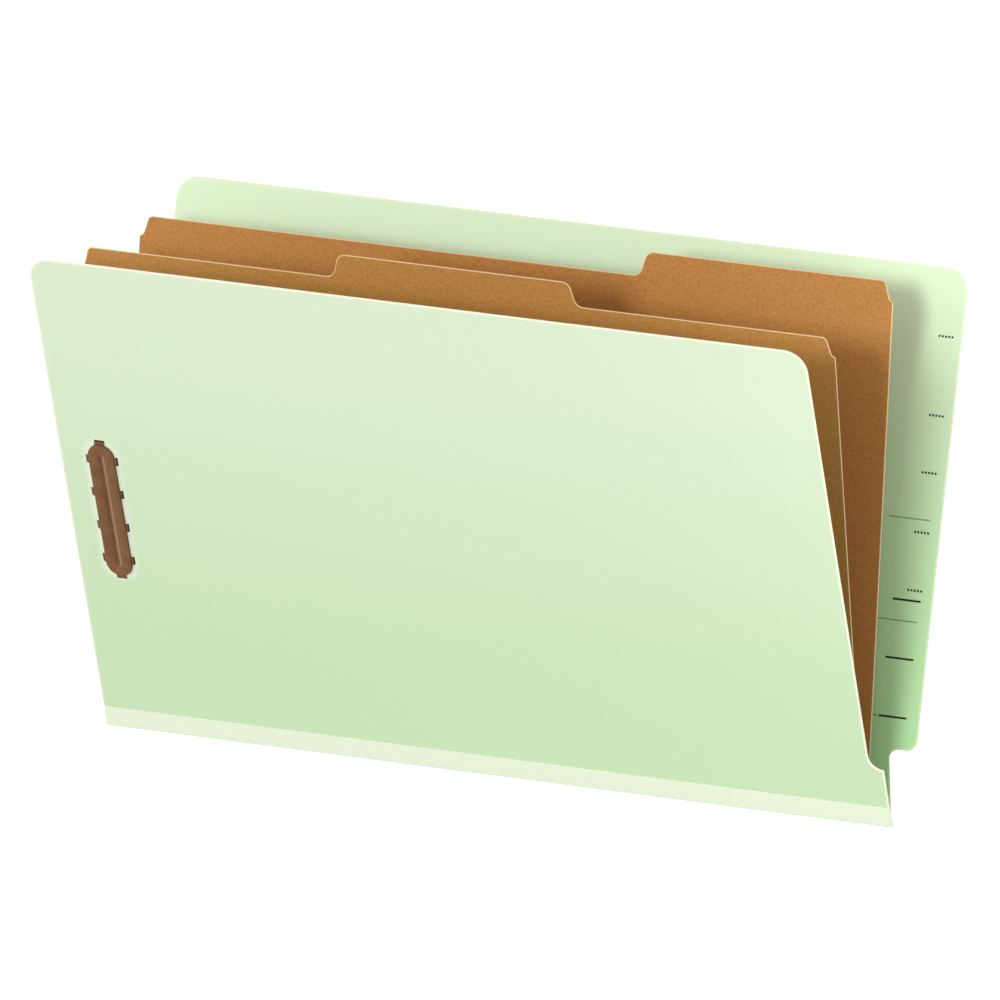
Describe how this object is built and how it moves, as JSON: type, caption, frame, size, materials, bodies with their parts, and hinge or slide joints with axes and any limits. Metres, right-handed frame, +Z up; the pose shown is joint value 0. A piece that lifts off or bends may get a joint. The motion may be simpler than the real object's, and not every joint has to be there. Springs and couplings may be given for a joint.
{
  "type": "classification folder",
  "caption": "Legal-size end-tab classification folder: pressboard covers and kraft dividers that turn on an expanding film gusset, with prong fasteners, standing open on its spine.",
  "frame": {"origin": "middle of the underside of the spine", "axes": "+X along the spine towards the end tab, +Z up, the front cover leans towards -Y"},
  "size_m": [0.3855, 0.1462, 0.2352],
  "materials": {
    "pressboard": "smooth matt pale green pressboard",
    "kraft_board": "speckled matt brown kraft board",
    "gusset_film": "pale green spun film",
    "coated_steel": "satin brown coating"
  },
  "bodies": {
    "back_cover": {"back_cover": "pressboard", "back_lap": "gusset_film", "back_fastener_plate": "coated_steel", "back_gusset_pleat": "gusset_film"},
    "back_gusset": {"back_gusset_floor": "gusset_film"},
    "rear_divider": {"rear_divider": "kraft_board", "rear_divider_tape": "gusset_film", "rear_divider_fastener": "coated_steel", "middle_gusset_pleat": "gusset_film"},
    "middle_gusset": {"middle_gusset_floor": "gusset_film"},
    "front_divider": {"front_divider": "kraft_board", "front_divider_tape": "gusset_film", "front_divider_fastener": "coated_steel", "front_gusset_pleat": "gusset_film"},
    "front_gusset": {"front_gusset_floor": "gusset_film"},
    "front_cover": {"front_cover": "pressboard", "front_lap": "gusset_film", "front_fastener_plate": "coated_steel"},
    "front_cover_prong_upper": {"front_cover_prong_upper": "coated_steel"},
    "front_divider_prong_front_upper": {"front_divider_prong_front_upper": "coated_steel"},
    "front_divider_prong_rear_upper": {"front_divider_prong_rear_upper": "coated_steel"},
    "rear_divider_prong_front_upper": {"rear_divider_prong_front_upper": "coated_steel"},
    "rear_divider_prong_rear_upper": {"rear_divider_prong_rear_upper": "coated_steel"},
    "back_cover_prong_upper": {"back_cover_prong_upper": "coated_steel"},
    "front_cover_prong_lower": {"front_cover_prong_lower": "coated_steel"},
    "front_divider_prong_front_lower": {"front_divider_prong_front_lower": "coated_steel"},
    "front_divider_prong_rear_lower": {"front_divider_prong_rear_lower": "coated_steel"},
    "rear_divider_prong_front_lower": {"rear_divider_prong_front_lower": "coated_steel"},
    "rear_divider_prong_rear_lower": {"rear_divider_prong_rear_lower": "coated_steel"},
    "back_cover_prong_lower": {"back_cover_prong_lower": "coated_steel"}
  },
  "joints": [
    {"name": "back_gusset_expand", "type": "slide", "parent": "back_cover", "child": "back_gusset", "axis": [0, -1, 0], "range_m": [0, 0.0134], "deforming": ["back_gusset_pleat"]},
    {"name": "rear_divider_turn", "type": "hinge", "parent": "back_gusset", "child": "rear_divider", "pos_m": [0, 0.00175, 0], "axis": [1, 0, 0], "range_deg": [-8.1, 166.9]},
    {"name": "middle_gusset_expand", "type": "slide", "parent": "rear_divider", "child": "middle_gusset", "axis": [0, -1, 0], "range_m": [0, 0.0134], "deforming": ["middle_gusset_pleat"]},
    {"name": "front_divider_turn", "type": "hinge", "parent": "middle_gusset", "child": "front_divider", "pos_m": [0, -0.00175, 0], "axis": [-1, 0, 0], "range_deg": [-161, 14]},
    {"name": "front_gusset_expand", "type": "slide", "parent": "front_divider", "child": "front_gusset", "axis": [0, -1, 0], "range_m": [0, 0.0134], "deforming": ["front_gusset_pleat"]},
    {"name": "front_cover_turn", "type": "hinge", "parent": "front_gusset", "child": "front_cover", "pos_m": [0, -0.00525, 0], "axis": [1, 0, 0], "range_deg": [-10.4, 169.6]},
    {"name": "front_cover_bend_upper", "type": "hinge", "parent": "front_cover", "child": "front_cover_prong_upper", "pos_m": [-0.1711, -0.04686, 0.14351], "axis": [1, 0, 0], "range_deg": [0, 90]},
    {"name": "front_divider_bend_front_upper", "type": "hinge", "parent": "front_divider", "child": "front_divider_prong_front_upper", "pos_m": [-0.1711, -0.01822, 0.14852], "axis": [-1, 0, 0], "range_deg": [0, 90]},
    {"name": "front_divider_bend_rear_upper", "type": "hinge", "parent": "front_divider", "child": "front_divider_prong_rear_upper", "pos_m": [-0.1711, -0.01652, 0.1487], "axis": [-1, 0, 0], "range_deg": [-90, 0]},
    {"name": "rear_divider_bend_front_upper", "type": "hinge", "parent": "rear_divider", "child": "rear_divider_prong_front_upper", "pos_m": [-0.1711, 0.0217, 0.14809], "axis": [1, 0, 0], "range_deg": [-90, 0]},
    {"name": "rear_divider_bend_rear_upper", "type": "hinge", "parent": "rear_divider", "child": "rear_divider_prong_rear_upper", "pos_m": [-0.1711, 0.02339, 0.14785], "axis": [1, 0, 0], "range_deg": [0, 52]},
    {"name": "back_cover_bend_upper", "type": "hinge", "parent": "back_cover", "child": "back_cover_prong_upper", "pos_m": [-0.1711, 0.04611, 0.14373], "axis": [-1, 0, 0], "range_deg": [0, 52]},
    {"name": "front_cover_bend_lower", "type": "hinge", "parent": "front_cover", "child": "front_cover_prong_lower", "pos_m": [-0.1711, -0.02714, 0.07651], "axis": [-1, 0, 0], "range_deg": [0, 47]},
    {"name": "front_divider_bend_front_lower", "type": "hinge", "parent": "front_divider", "child": "front_divider_prong_front_lower", "pos_m": [-0.1711, -0.01092, 0.07905], "axis": [1, 0, 0], "range_deg": [0, 47]},
    {"name": "front_divider_bend_rear_lower", "type": "hinge", "parent": "front_divider", "child": "front_divider_prong_rear_lower", "pos_m": [-0.1711, -0.00922, 0.07923], "axis": [1, 0, 0], "range_deg": [-66, 0]},
    {"name": "rear_divider_bend_front_lower", "type": "hinge", "parent": "rear_divider", "child": "rear_divider_prong_front_lower", "pos_m": [-0.1711, 0.01198, 0.07892], "axis": [-1, 0, 0], "range_deg": [-66, 0]},
    {"name": "rear_divider_bend_rear_lower", "type": "hinge", "parent": "rear_divider", "child": "rear_divider_prong_rear_lower", "pos_m": [-0.1711, 0.01367, 0.07868], "axis": [-1, 0, 0], "range_deg": [0, 36]},
    {"name": "back_cover_bend_lower", "type": "hinge", "parent": "back_cover", "child": "back_cover_prong_lower", "pos_m": [-0.1711, 0.02674, 0.07662], "axis": [1, 0, 0], "range_deg": [0, 37]}
  ]
}
